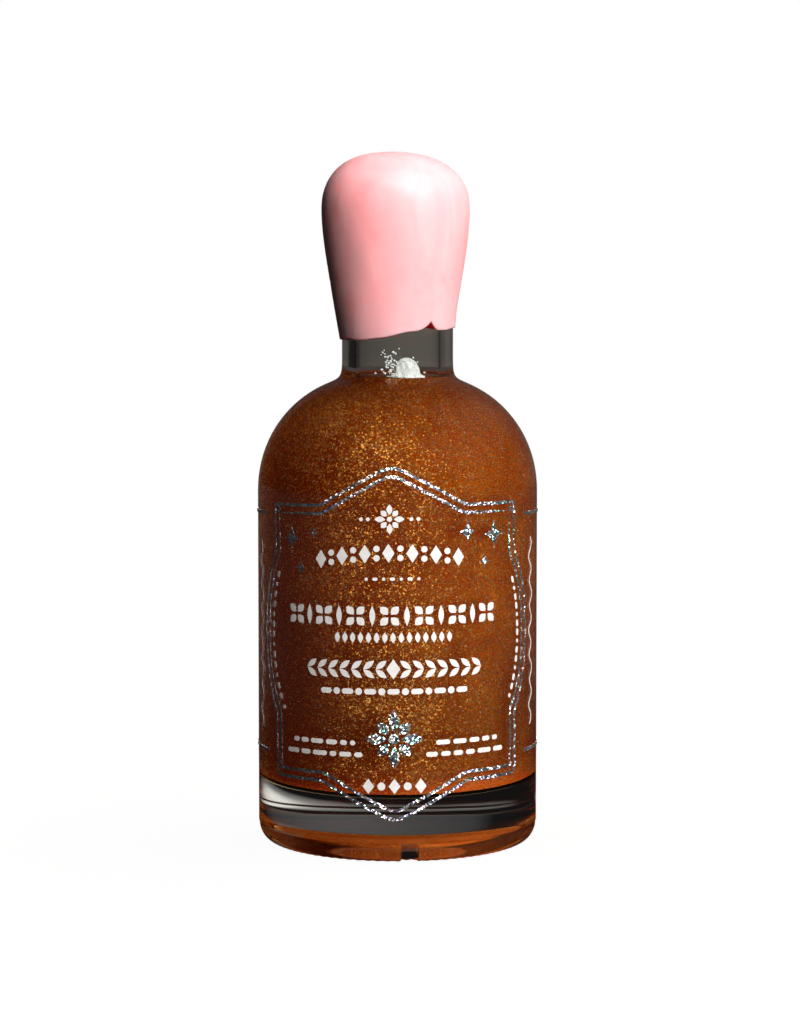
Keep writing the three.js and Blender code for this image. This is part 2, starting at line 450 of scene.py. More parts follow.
def moulded_glass():
    """Clear flint glass with the faint waviness that a mould leaves."""
    material = glass_material("flint_glass", 1.5, (0.965, 0.98, 0.972))
    tree = material.node_tree
    shader = tree.nodes["Principled BSDF"]
    waves = noise(tree, object_place(tree, (1, 1, 0.45)), 55.0, detail=1.5)
    bump(tree, shader, waves, 0.12, 0.0012)
    smears = noise(tree, object_place(tree), 140.0, detail=4.0)
    tree.links.new(spread(tree, smears, 0.0, 0.03), shader.inputs["Roughness"])
    return material


def syrup_material():
    """Syrup clear enough to see glitter a few millimetres down, and red-brown where it is deep."""
    material = glass_material("syrup", 1.003, (0.99, 0.98, 0.96))
    tree = material.node_tree
    depth = add(tree, "ShaderNodeVolumeAbsorption", Color=(0.845, 0.715, 0.36, 1), Density=560.0)
    tree.links.new(depth.outputs[0], tree.nodes["Material Output"].inputs["Volume"])
    return material


def cloud_material():
    """The haze of the finest glitter: dark red syrup with gold cells that each face their own way, and a
    faint painted red glow.
    """
    material, tree, shader = new_material("glitter_cloud")
    drift = noise(tree, object_place(tree, (1, 1, 0.6)), 70.0, detail=5.0, roughness=0.62, distortion=1.2)
    deep = ramp(tree, drift, [(0.30, (0.32, 0.080, 0.004)), (0.70, (0.56, 0.185, 0.012))])
    cells, random_parts = cell_pattern(tree, object_place(tree), CLOUD_CELLS)
    gold = ramp(tree, random_parts[1], [
        (0.0, (0.74, 0.42, 0.18)),
        (0.5, (0.94, 0.66, 0.40)),
        (1.0, (1.0, 0.86, 0.72)),
    ])
    share = maths(tree, "MULTIPLY_ADD", drift, 0.9, random_parts[0])
    is_flake = maths(tree, "GREATER_THAN", share, CLOUD_GOLD_ABOVE)
    colour = add(tree, "ShaderNodeMix", data_type="RGBA")
    tree.links.new(is_flake, colour.inputs["Factor"])
    tree.links.new(deep, colour.inputs[6])
    tree.links.new(gold, colour.inputs[7])
    # Painted shade and glow lower down, as for the flakes.
    tree.links.new(painted_shade_and_glow_low_down(tree, colour.outputs[2]), shader.inputs["Base Color"])
    tree.links.new(is_flake, shader.inputs["Metallic"])
    tilted_cells(tree, shader, cells, 1.3)
    set_inputs(shader, {
        "Roughness": 0.42,
        # Painted glow: a faint red emission stands for light scattered through the syrup into its shaded
        # side.
        "Emission Color": (1.0, 0.10, 0.004, 1),
        "Emission Strength": 0.046,
        "Specular IOR Level": 0.1,
        "Subsurface Weight": 0.8,
        "Subsurface Radius": (1.0, 0.10, 0.02),
        "Subsurface Scale": 0.030,
    })
    return material


def painted_shade_and_glow_low_down(tree, colour):
    """Painted shade: the lower part of the syrup is a little darker, and redder at its foot, a painted glow
    of light passing down through it.
    """
    parts = add(tree, "ShaderNodeSeparateXYZ")
    tree.links.new(object_place(tree), parts.inputs[0])
    height = spread(tree, parts.outputs["Z"], 0, LEVEL * MM, "From")
    shade = ramp(tree, height, [
        (0.150, (0.70, 0.40, 0.18)),
        (0.172, (0.62, 0.60, 0.60)),
        (0.30, (0.68, 0.72, 0.80)),
        (0.52, (1.0, 1.0, 1.0)),
    ])
    return mixed(tree, "MULTIPLY", colour, shade)


def tilted_cells(tree, shader, cells, tilt):
    """Turns the shading normal of each cell its own way."""
    surface = add(tree, "ShaderNodeNewGeometry")
    centred = vector_maths(tree, "SUBTRACT", cells.outputs["Color"], (0.5, 0.5, 0.5))
    scaled = add(tree, "ShaderNodeVectorMath", operation="SCALE")
    tree.links.new(centred[0], scaled.inputs[0])
    scaled.inputs["Scale"].default_value = tilt
    tilted = vector_maths(tree, "ADD", surface.outputs["Normal"], scaled.outputs[0])
    tree.links.new(vector_maths(tree, "NORMALIZE", tilted[0])[0], shader.inputs["Normal"])


def glitter_material(name, tone, roughness):
    """Mica flakes: metallic, a little rough, each a slightly different shade of one tone."""
    material, tree, shader = new_material(name)
    hue = noise(tree, object_place(tree), 900.0, detail=1.0)
    dark, pale = np.array(tone) * 0.72, np.minimum(np.array(tone) * 1.25, 1)
    colour = ramp(tree, hue, [(0.35, tuple(dark)), (0.65, tuple(pale))])
    # The flakes get the same painted shade and glow lower down.
    tree.links.new(painted_shade_and_glow_low_down(tree, colour), shader.inputs["Base Color"])
    set_inputs(shader, {"Metallic": 1.0, "Roughness": roughness})
    return material


def wax_material():
    """Dyed dipping wax: soft gloss, light sinks in, faint flow marks and clouding."""
    material, tree, shader = new_material("sealing_wax")
    flow = noise(tree, object_place(tree, (1.2, 1.2, 0.45)), 95.0, detail=3.0, distortion=1.6)
    colour = ramp(tree, flow, [
        (0.30, (0.88, 0.345, 0.355)),
        (0.50, (0.90, 0.380, 0.390)),
        (0.72, (0.91, 0.415, 0.425)),
    ])
    tree.links.new(colour, shader.inputs["Base Color"])
    set_inputs(shader, {
        "Subsurface Weight": 0.8,
        "Subsurface Radius": (1.0, 0.25, 0.24),
        "Subsurface Scale": 0.0032,
        "Specular IOR Level": 0.36,
        "Coat Weight": 0.04,
        "Coat Roughness": 0.45,
    })
    streaks = noise(tree, object_place(tree, (1, 1, 0.3)), 160.0, detail=4.0)
    tree.links.new(spread(tree, streaks, 0.44, 0.58), shader.inputs["Roughness"])
    dimples = noise(tree, object_place(tree), 210.0, detail=2.0)
    bump(tree, shader, dimples, 0.10, 0.0006)
    return material


def froth_material():
    """White froth, with painted shade in its pores."""
    material, tree, shader = new_material("froth_white")
    pores = add(tree, "ShaderNodeTexVoronoi", Scale=2300.0)
    tree.links.new(object_place(tree), pores.inputs["Vector"])
    # Painted shade: the colour darkens towards the middle of each pore, the low part of the bump.
    colour = ramp(tree, pores.outputs["Distance"], [(0.05, (0.44, 0.42, 0.39)), (0.5, (0.76, 0.75, 0.72))])
    tree.links.new(colour, shader.inputs["Base Color"])
    set_inputs(shader, {"Roughness": 0.45})
    bump(tree, shader, pores.outputs["Distance"], 0.4, 0.0002)
    return material


def film_material(name, low_alpha, high_alpha):
    """Clear label film: nearly invisible but for its cut edges and small creases."""
    material, tree, shader = new_material(name)
    haze = noise(tree, object_place(tree), 420.0, detail=3.0)
    tree.links.new(spread(tree, haze, low_alpha, high_alpha), shader.inputs["Alpha"])
    set_inputs(shader, {"Base Color": (0.62, 0.58, 0.56, 1), "Roughness": 0.22})
    creases = noise(tree, object_place(tree, (1, 1, 0.5)), 260.0, detail=2.0)
    bump(tree, shader, creases, 0.15, 0.0004)
    return material


def ink_material():
    """White screen print, slightly uneven."""
    material, tree, shader = new_material("white_ink")
    patches = noise(tree, object_place(tree), 700.0, detail=3.0)
    colour = ramp(tree, patches, [(0.35, (0.80, 0.75, 0.71)), (0.65, (0.89, 0.855, 0.82))])
    tree.links.new(colour, shader.inputs["Base Color"])
    tree.links.new(spread(tree, patches, 0.35, 0.5), shader.inputs["Roughness"])
    bump(tree, shader, patches, 0.15, 0.0001)
    return material


def foil_material():
    """Holographic silver foil: small cells that each tilt and tint their own way."""
    material, tree, shader = new_material("rainbow_foil")
    place = object_place(tree)
    cells, random_parts = cell_pattern(tree, place, 3600.0)
    drift = noise(tree, place, 60.0, detail=2.0)
    hue = maths(tree, "FRACT", maths(tree, "MULTIPLY_ADD", drift, 2.2, random_parts[0]))
    colour = ramp(tree, hue, [
        (0.00, (0.90, 0.90, 0.92)),
        (0.20, (0.22, 0.84, 0.66)),
        (0.36, (0.93, 0.94, 0.93)),
        (0.55, (0.52, 0.46, 0.95)),
        (0.68, (0.94, 0.93, 0.93)),
        (0.84, (0.97, 0.64, 0.50)),
        (1.00, (0.90, 0.90, 0.92)),
    ])
    tree.links.new(colour, shader.inputs["Base Color"])
    tilted_cells(tree, shader, cells, 1.25)
    set_inputs(shader, {"Metallic": 1.0, "Roughness": 0.36})
    return material


GLASS = moulded_glass()
WETTED_GLASS = glass_material("wetted_glass", 1.003, (0.99, 0.99, 0.99))
SYRUP = syrup_material()
SYRUP_SURFACE = glass_material("syrup_surface", 1.48, (0.98, 0.93, 0.86))
CLOUD = cloud_material()
WAX = wax_material()
FROTH = froth_material()
FILM = film_material("clear_film", 0.004, 0.02)
FILM_EDGE = film_material("film_edge", 0.10, 0.22)
INK = ink_material()
FOIL = foil_material()


# The glass bottle


def glass_profiles():
    """The outside, from the push-up to the mouth, and the inside, from the mouth to its floor."""
    heel_r = BODY_R - MOULD_STEP - RING_OUTER_R
    step_top = HEEL_H + MOULD_STEP_H
    outside = [
        *punt_points(34),
        *[(lerp(RING_INNER_R, RING_OUTER_R, i / 6), 0) for i in range(1, 6)],
        *fillet_points(RING_OUTER_R, HEEL_H, heel_r, HEEL_H, 14),
        (BODY_R - MOULD_STEP, HEEL_H + 0.04),
        (BODY_R, step_top),
        (BODY_R, step_top + 0.3),
        *wall_points(step_top + 1, SHOULDER_Z, BODY_R, 12),
        *shoulder_points(NECK_BLEND["start"], 0, 34),
        *blend_points(NECK_BLEND, NECK_R, 0, 18),
        (NECK_R, MOUTH_Z - MOUTH_ROUND),
        (NECK_R - 0.3 * MOUTH_ROUND, MOUTH_Z - 0.3 * MOUTH_ROUND),
        (NECK_R - MOUTH_ROUND, MOUTH_Z),
        (BORE_R + 0.2, MOUTH_Z),
    ]
    inside = [*cavity_points(0), (BORE_R, MOUTH_Z - 0.2)]
    return outside, inside[::-1]


def with_level_ring(inside):
    """The inner wall, which runs down, with a point added at the liquid's level."""
    i = next(n for n, point in enumerate(inside) if point[1] < LEVEL)
    high, low = inside[i - 1], inside[i]
    share = (LEVEL - low[1]) / (high[1] - low[1])
    return inside[:i] + [(lerp(low[0], high[0], share), LEVEL)] + inside[i:]


def knurl(points):
    """Small bumps on the standing ring, with the ring between them raised off the table."""
    r, azimuth = polar(points)
    middle = (RING_INNER_R + RING_OUTER_R) / 2
    near = hill((r - middle) / (RING_OUTER_R - RING_INNER_R + 1.2)) * (points[:, 2] < HEEL_H)
    between = 0.5 - 0.5 * np.cos(azimuth * KNURLS)
    low = np.clip(1 - points[:, 2] / HEEL_H, 0, 1) ** 3
    points[:, 2] += KNURL_H * between * np.clip(near * 1.6, 0, 1) * low


def notch_cutter():
    """A box with softened edges, standing across the heel."""
    shape = bmesh.new()
    bmesh.ops.create_cube(shape, size=1)
    height = NOTCH["height"] + 1
    for v in shape.verts:
        v.co = (v.co.x * NOTCH["width"], v.co.y * NOTCH["depth"], v.co.z * height)
    edges = list(shape.edges)
    bmesh.ops.bevel(shape, geom=edges, offset=NOTCH["round"], segments=3, affect="EDGES", profile=0.5)
    corners, faces = points_and_faces(shape)
    centre_r = NOTCH["inner_r"] + NOTCH["depth"] / 2
    turn = math.radians(NOTCH["degrees"])
    points = []
    for x, y, z in corners:
        y -= centre_r
        z += (NOTCH["height"] - 1) / 2
        points.append((x * math.cos(turn) - y * math.sin(turn), x * math.sin(turn) + y * math.cos(turn), z))
    return mesh_object("notch_cutter", points, faces, [GLASS])


def cut(target, cutter):
    modifier = target.modifiers.new("cut", "BOOLEAN")
    modifier.operation = "DIFFERENCE"
    modifier.solver = "EXACT"
    modifier.object = cutter
    graph = bpy.context.evaluated_depsgraph_get()
    result = bpy.data.meshes.new_from_object(target.evaluated_get(graph), depsgraph=graph)
    target.modifiers.remove(modifier)
    old = target.data
    target.data = result
    bpy.data.meshes.remove(old)
    bpy.data.objects.remove(cutter)


def make_glass():
    outside, inside = glass_profiles()
    profile = outside + with_level_ring(inside)
    slots = []
    for i, (here, following) in enumerate(zip(profile, profile[1:])):
        wetted = i >= len(outside) and max(here[1], following[1]) <= LEVEL + 1e-6
        slots.append(int(wetted))
    points, faces, face_slots = revolve(profile, SEGMENTS, slots)
    knurl(points)
    glass = mesh_object("glass_bottle_clear", points, faces, [GLASS, WETTED_GLASS], face_slots)
    cut(glass, notch_cutter())
    glass.data.set_sharp_from_angle(angle=math.radians(38))
    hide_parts("glass_bottle")
    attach(glass, "root")


# The syrup and its glitter


def make_syrup():
    """The liquid, with a surface that creeps up the glass, and a thin skin that mirrors like syrup."""
    profile = below(cavity_points(-INTO_WALL), LEVEL)
    edge_r = profile[-1][0]
    rise = [(edge_r, LEVEL + MENISCUS_RISE)]
    steps = 10
    for i in range(1, steps + 1):
        share = i / steps
        rise.append((edge_r * (1 - 0.22 * share), LEVEL + MENISCUS_RISE * (1 - share) ** 3))
    top = [*rise, (edge_r * 0.4, LEVEL), (0, LEVEL)]
    points, faces, _ = revolve(profile[:-1] + top, SEGMENTS)
    syrup = mesh_object("syrup_clear", points, faces, [SYRUP])
    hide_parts("syrup")
    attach(syrup, "root")

    skin_z = LEVEL + SKIN_LIFT
    skin_top = [(r - INTO_WALL - SKIN_LIFT, z + SKIN_LIFT) for r, z in rise]
    skin_top += [(edge_r * 0.4, skin_z), (0, skin_z)]
    skin_low = [(max(r - SKIN_LIFT, 0), z - SURFACE_SKIN) for r, z in skin_top][::-1]
    points, faces, _ = revolve([(0, skin_z - SURFACE_SKIN)] + skin_low[1:] + skin_top, SEGMENTS // 2)
    skin = mesh_object("syrup_surface", points, faces, [SYRUP_SURFACE])
    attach(skin, "root")
    return syrup


def make_cloud():
    """A closed form deep in the syrup, lower and wider over the floor, gently rippled."""
    top = LEVEL - CLOUD_BELOW_LEVEL
    points, faces, _ = revolve(below(cavity_points(CLOUD_DEPTH), top) + [(0, top)], SEGMENTS // 2)
    low = 1 - smooth(FLOOR_Z + 1, FLOOR_Z + 2 * FLOOR_FILLET, points[:, 2])
    points[:, 2] -= (CLOUD_DEPTH - CLOUD_ABOVE_FLOOR) * low
    points[:, :2] *= 1 + CLOUD_WIDER_LOW * low[:, None]
    r, azimuth = polar(points)
    z = points[:, 2]
    ripple = CLOUD_RIPPLE * np.sin(3 * azimuth + z * 0.21) * np.sin(z * 0.13 + 2 * azimuth)
    scale = 1 + np.where(r > 1, ripple / np.maximum(r, 1), 0)
    points[:, :2] *= scale[:, None]
    cloud = mesh_object("syrup_cloud", points, faces, [CLOUD])
    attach(cloud, "root")
    return cloud


def places_in_syrup(rng, count, shallow, deep):
    """Random places under the cavity's surface, even over its area, from shallow to deep inside it."""
    top = LEVEL - GLITTER_BELOW_LEVEL
    wall = [p for p in below(cavity_points(0), top) if p[1] > FLOOR_Z + GLITTER_ABOVE_FLOOR]
    profile = np.array(wall + [(0, top)])
    steps = np.diff(profile, axis=0)
    lengths = np.hypot(steps[:, 0], steps[:, 1])
    areas = lengths * (profile[:-1, 0] + profile[1:, 0])
    piece = rng.choice(len(areas), size=count, p=areas / areas.sum())
    along = rng.random(count)
    r = profile[piece, 0] + steps[piece, 0] * along
    z = profile[piece, 1] + steps[piece, 1] * along
    inward = np.stack([-steps[piece, 1], steps[piece, 0]], axis=1) / np.maximum(lengths[piece, None], 1e-9)
    depth = shallow + (deep - shallow) * rng.random(count)
    r = r + inward[:, 0] * depth
    z = z + inward[:, 1] * depth
    azimuth = rng.random(count) * TURN
    sine, cosine = np.sin(azimuth), -np.cos(azimuth)
    outward = np.stack([-inward[:, 0] * sine, -inward[:, 0] * cosine, -inward[:, 1]], axis=1)
    return np.stack([r * sine, r * cosine, z], axis=1), outward


def unit(vectors):
    return vectors / np.linalg.norm(vectors, axis=1, keepdims=True)


def flake_frames(rng, outward, tumble):
    """Two unit vectors in each flake's plane. The less the tumble, the more flakes lie along the wall."""
    normal = unit(outward + tumble * rng.normal(size=outward.shape))
    first = unit(np.cross(normal, rng.normal(size=outward.shape)))
    return first, np.cross(normal, first)


def make_glitter(name, seed, count, sizes, depths, tumble, tone, roughness):
    """Thin closed flakes, each a three-cornered base with a low peak, turned every way, in one piece."""
    rng = np.random.default_rng(seed)
    centre, outward = places_in_syrup(rng, count, *depths)
    across, along = flake_frames(rng, outward, tumble)
    reach = np.exp(rng.uniform(np.log(sizes[0]), np.log(sizes[1]), size=count))[:, None] / 2
    corners = [centre + np.cross(across, along) * FLAKE_THICKNESS]
    for corner in range(3):
        angle = TURN * (corner + 0.45 * rng.random((count, 1))) / 3
        out = reach * rng.uniform(0.8, 1.25, size=(count, 1))
        corners.append(centre + out * (across * np.cos(angle) + along * np.sin(angle)))
    points = np.stack(corners, axis=1).reshape(-1, 3)
    pattern = np.array([[0, 1, 2], [0, 2, 3], [0, 3, 1], [3, 2, 1]])
    triangles = (np.arange(count)[:, None, None] * 4 + pattern).reshape(-1)
    mesh = bpy.data.meshes.new(name)
    mesh.vertices.add(len(points))
    mesh.vertices.foreach_set("co", (points * MM).astype(np.float32).ravel())
    mesh.loops.add(len(triangles))
    mesh.loops.foreach_set("vertex_index", triangles.astype(np.int32))
    mesh.polygons.add(len(triangles) // 3)
    mesh.polygons.foreach_set("loop_start", np.arange(0, len(triangles), 3, dtype=np.int32))
    mesh.materials.append(glitter_material(name + "_mica", tone, roughness))
    mesh.update(calc_edges=True)
    flakes = new_object(name, mesh)
    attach(flakes, "root")
    return flakes


# The froth


def make_froth():
    """A lumpy dome with a flared foot, kept inside the neck's bore."""
    centre = (froth_low + froth_high) / 2 / MM
    half_w = (froth_high.x - froth_low.x) / 2 / MM
    half_d = (froth_high.y - froth_low.y) / 2 / MM
    base = LEVEL - 0.05
    top = froth_low.z / MM - FROTH_BLOB["drop"] + FROTH_BLOB["stretch"] * (froth_high.z - froth_low.z) / MM
    foot = [(0, 0), (1.0, 0), (1.04, 0.06), (1.0, 0.13), (0.86, 0.2), (0.75, 0.3), (0.7, 0.42), (0.69, 0.5)]
    dome = [(0.69 * math.cos(a), 0.5 + 0.5 * math.sin(a)) for a in np.linspace(0.15, math.pi / 2, 14)]
    points, faces, _ = revolve(foot + dome[:-1] + [(0, 1)], 72)
    _, azimuth = polar(points)
    folds = 0.07 * np.sin(5 * azimuth) * np.sin(np.pi * points[:, 2])
    lump = 1 + folds + 0.03 * np.sin(11 * azimuth + 9 * points[:, 2])
    points[:, 0] *= half_w * lump
    points[:, 1] *= half_d * lump
    points[:, 2] *= top - base
    points += np.array([centre.x + FROTH_BLOB["aside"], centre.y - FROTH_BLOB["forward"], base])
    limit = BORE_R + 0.03
    r, _ = polar(points)
    points[:, :2] *= np.minimum(1, limit / np.maximum(r, 1e-6))[:, None]
    froth = mesh_object("froth_blob", points, faces, [FROTH])
    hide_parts("froth")
    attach(froth, "root")
    return froth


def make_bubbles():
    """Small bubbles that cling to the inside of the neck beside the froth, and a few droplets."""
    rng = np.random.default_rng(CLUSTER["seed"])
    shape = bmesh.new()
    cluster = []
    for _ in range(CLUSTER["count"]):
        azimuth = rng.normal(CLUSTER["middle"], CLUSTER["scatter"])
        z = LEVEL + CLUSTER["above_level"] + CLUSTER["tall"] * rng.random()
        cluster.append((azimuth, z, rng.uniform(*CLUSTER["radii"])))
    for azimuth, z, radius in (*cluster, *SINGLE_BUBBLES):
        ball = bmesh.ops.create_icosphere(shape, subdivisions=2, radius=radius)["verts"]
        wall = BORE_R - 0.55 * radius
        for v in ball:
            v.co += Vector((wall * math.sin(azimuth), -wall * math.cos(azimuth), z))
    points, faces = points_and_faces(shape)
    bubbles = mesh_object("froth_bubbles", points, faces, [FROTH])
    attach(bubbles, "root")
    return bubbles


# The wax seal


def rim_height(azimuth):
    """Height of the wax's lower edge: a slow swing, a swell at the front and small waves."""
    degrees = np.degrees(azimuth)
    swing = -RIM["swing"] * np.cos(np.radians(degrees - RIM["low_at"]))
    swell = RIM["swell"] * np.exp(-(((degrees - RIM["swell_at"]) / RIM["swell_width"]) ** 2))
    ripple = 0.16 * np.sin(5 * azimuth + 0.8) + 0.07 * np.sin(11 * azimuth)
    return RIM["mean"] + swing + swell + ripple


def notch_rise(azimuth, z):
    """How far the V notch lifts the wax, only close to its lower edge."""
    past = np.degrees(azimuth) - DRIP_NOTCH["at"]
    left = np.clip(1 + past / DRIP_NOTCH["left"], 0, 1) ** 2.4
    right = np.clip(1 - past / DRIP_NOTCH["right"], 0, 1) ** 1.3
    near = np.clip(1 - (z - RIM["mean"]) / DRIP_NOTCH["fade"], 0, 1) ** 1.5
    return DRIP_NOTCH["height"] * np.where(past < 0, left, right) * near


def wax_profile():
    """The wax's section, from the top of its socket down to the lip and up to the apex."""
    top = MOUTH_Z + 0.1
    socket = [(0, top), (WAX_SOCKET_R * 0.5, top), (WAX_SOCKET_R, top)]
    lip_z = RIM["mean"] + WAX_LIP_H
    socket += [(WAX_SOCKET_R, lerp(top, lip_z, i / 8)) for i in range(1, 9)]
    lip_r = (WAX_RIM_R - WAX_SOCKET_R) / 2
    middle = (WAX_SOCKET_R + WAX_RIM_R) / 2
    turns = np.linspace(0.3, math.pi, 8)
    lip = [(middle - lip_r * math.cos(a), lip_z - WAX_LIP_H * math.sin(a)) for a in turns]
    side = bezier(
        (WAX_RIM_R, lip_z),
        (WAX_TAPER["first_r"], WAX_TAPER["first_z"]),
        (WAX_WIDEST[0], WAX_TAPER["last_z"]),
        WAX_WIDEST,
        46,
    )
    dome = []
    steps = 40
    for i in range(1, steps + 1):
        share = math.sin(math.pi / 2 * i / steps)
        r = WAX_WIDEST[0] * max(0.0, 1 - share**WAX_DOME_POWER) ** (1 / WAX_DOME_POWER)
        dome.append((0 if i == steps else r, lerp(WAX_WIDEST[1], WAX_TOP, share)))
    return socket + lip + side + dome


def make_wax():
    """The dipped seal: leaning, with soft folds and an uneven lower edge."""
    points, faces, _ = revolve(wax_profile(), SEGMENTS)
    x, y, z = points.T.copy()
    r, azimuth = polar(points)
    outside = (r > WAX_SOCKET_R + 0.02) | (z > MOUTH_Z + 1)
    low = np.clip((RIM["fade"] - z) / (RIM["fade"] - RIM["mean"]), 0, 1)
    high = np.clip((z - WAX_APEX_FROM) / (WAX_TOP - WAX_APEX_FROM), 0, 1)
    flow = 0.06 * np.sin(4 * azimuth + 0.05 * z) + 0.03 * np.sin(9 * azimuth - 0.11 * z + 1.3)
    fold_at = WAX_FOLD["at"] + WAX_FOLD["lean"] * (z - WAX_FOLD["from_z"])
    fold = WAX_FOLD["height"] * np.exp(-(((azimuth - fold_at) / WAX_FOLD["width"]) ** 2))
    fold = fold * smooth(118, 126, z) * (1 - smooth(141, 147, z))
    run_at = WAX_RUN["at"] + WAX_RUN["sway"] * np.sin(z * 0.2)
    run = WAX_RUN["height"] * np.exp(-(((azimuth - run_at) / WAX_RUN["width"]) ** 2))
    run = run * (1 - smooth(122, 134, z))
    swell = np.where(outside, (flow * (1 - high) + fold + run) * (1 - low**6), 0)
    factor = 1 + swell / np.maximum(r, 1)
    points[:, 0] = x * factor + np.where(outside, WAX_LEAN * (1 - low**2) + WAX_APEX_SHIFT * high**2, 0)
    points[:, 1] = y * factor
    points[:, 2] = z + (rim_height(azimuth) - RIM["mean"]) * low + notch_rise(azimuth, z) * (low > 0)
    wax = mesh_object("wax_seal_dipped", points, faces, [WAX])
    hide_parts("wax_seal")
    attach(wax, "root")
    # Its mirror image on the shoulder would be a pink arc.
    wax.visible_glossy = False
    return wax


# The label: film, white print and foil


def on_bottle(u, v, lift):
    """A point of the label, u along its arc and v up, on the bottle's outside."""
    turned_u = u * math.cos(LABEL_ROLL) - (v - LABEL_MIDDLE) * math.sin(LABEL_ROLL) + LABEL_SHIFT
    turned_v = LABEL_MIDDLE + (v - LABEL_MIDDLE) * math.cos(LABEL_ROLL) + u * math.sin(LABEL_ROLL)
    azimuth = turned_u / BODY_R
    r = shoulder_radius(turned_v) + lift
    return np.stack([r * np.sin(azimuth), -r * np.cos(azimuth), turned_v], axis=-1)


def edge_height(u, tip, level, band):
    """Height of the film's upper or lower edge at arc u: a rounded peak, a level stretch, then the band."""
    arc = np.abs(u)
    rounded_arc = np.sqrt(arc**2 + PANEL["tip"] ** 2)
    peak_share = np.clip((PANEL["bend"] - rounded_arc) / (PANEL["bend"] - PANEL["tip"]), 0, 1)
    past_side = smooth(PANEL["half"] - 1.2, PANEL["half"] + 0.8, arc)
    return lerp(lerp(level, tip, peak_share), band, past_side)


def on_edge(face, half, rows):
    """Whether a face of the film belongs to its cut edge or to the outermost strip beside it."""
    across = {i % half % rows for i in face}
    return across <= {0, 1} or across <= {rows - 2, rows - 1} or len({i // half for i in face}) == 2


def make_film():
    """One sheet round the bottle whose end laps over its start at the back."""
    half_turn = math.pi * BODY_R
    seam = half_turn - LABEL_SHIFT
    columns = np.linspace(-half_turn - LABEL_SHIFT, seam + FILM_LAP, FILM_COLUMNS)
    rows = FILM_ROWS
    share = smooth(0, 1, np.linspace(0, 1, rows))[None, :]
    u = np.repeat(columns[:, None], rows, axis=1)
    low = edge_height(columns, PANEL["bottom"], PANEL["low"], BAND_LOW)[:, None]
    high = edge_height(columns, PANEL["top"], PANEL["high"], BAND_HIGH)[:, None]
    roll_back = -(u * math.sin(LABEL_ROLL)) * smooth(PANEL["half"], PANEL["half"] + 12, np.abs(u))
    v = low + (high - low) * share + roll_back
    over_start = FILM_GAP + (FILM_THICKNESS + 0.02) * smooth(seam - 1.0, seam, u)
    lift = over_start + 0.05 * (np.exp(-share * rows / 1.5) + np.exp(-(1 - share) * rows / 1.5))
    inner = on_bottle(u, v, lift).reshape(-1, 3)
    outer = on_bottle(u, v, lift + FILM_THICKNESS).reshape(-1, 3)
    points = np.concatenate([outer, inner])
    half = len(outer)
    faces = []
    for i in range(len(columns) - 1):
        for j in range(rows - 1):
            a, b, c, d = i * rows + j, (i + 1) * rows + j, (i + 1) * rows + j + 1, i * rows + j + 1
            faces.append([a, b, c, d])
            faces.append([d + half, c + half, b + half, a + half])
    for i in range(len(columns) - 1):
        a, b = i * rows, (i + 1) * rows
        faces.append([a, a + half, b + half, b])
        c, d = a + rows - 1, b + rows - 1
        faces.append([d, d + half, c + half, c])
    last = (len(columns) - 1) * rows
    for j in range(rows - 1):
        faces.append([j + 1, j + 1 + half, j + half, j])
        faces.append([last + j, last + j + half, last + j + 1 + half, last + j + 1])
    slots = [int(on_edge(face, half, rows)) for face in faces]
    film = mesh_object("label_film_clear", points, faces, [FILM, FILM_EDGE], slots)
    film.data.set_sharp_from_angle(angle=math.radians(40))
    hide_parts("label_film")
    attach(film, "root")


def turned(points, cx, cy, angle):
    c, s = math.cos(angle), math.sin(angle)
    return [(cx + x * c - y * s, cy + x * s + y * c) for x, y in points]


def disc(cx, cy, radius):
    turns = np.arange(20) * TURN / 20
    return [[(cx + radius * math.cos(a), cy + radius * math.sin(a)) for a in turns]]


def bar(cx, cy, width, height, angle=0.0):
    """A bar with round ends."""
    radius = min(width, height) / 2
    reach_x, reach_y = width / 2 - radius, height / 2 - radius
    points = []
    for i in range(16):
        a = TURN * (i + 0.5) / 16
        points.append((math.copysign(reach_x, math.cos(a)) + radius * math.cos(a),
                       math.copysign(reach_y, math.sin(a)) + radius * math.sin(a)))
    return [turned(points, cx, cy, angle)]


def lens(cx, cy, length, width, angle=0.0):
    """A leaf-like shape between two arcs, its points on the long axis."""
    shares = [i / 9 for i in range(10)]
    upper = [(length * (share - 0.5), width / 2 * math.sin(math.pi * share)) for share in shares]
    lower = [(x, -y) for x, y in upper[1:-1]][::-1]
    return [turned((upper + lower)[::-1], cx, cy, angle)]


def petal(cx, cy, middle, length, width, angle):
    """A leaf that points away from a centre."""
    return lens(cx + middle * math.cos(angle), cy + middle * math.sin(angle), length, width, angle)


def lozenge(cx, cy, width, height):
    return [[(cx + width / 2, cy), (cx, cy + height / 2), (cx - width / 2, cy), (cx, cy - height / 2)]]


def floret(cx, cy, reach, width):
    """Four petals on the diagonals."""
    shapes = []
    for quarter in range(4):
        angle = math.pi / 4 + math.pi / 2 * quarter
        shapes += petal(cx, cy, reach * 0.58, reach * 0.84, width, angle)
    return shapes


def star(cx, cy, width, height):
    """A four-pointed sparkle with hollow sides."""
    points = []
    for quarter in range(4):
        for i in range(7):
            a = math.pi / 2 * i / 7
            x, y = math.cos(a) ** STAR_HOLLOW, math.sin(a) ** STAR_HOLLOW
            for _ in range(quarter):
                x, y = -y, x
            points.append((cx + x * width / 2, cy + y * height / 2))
    return [points]


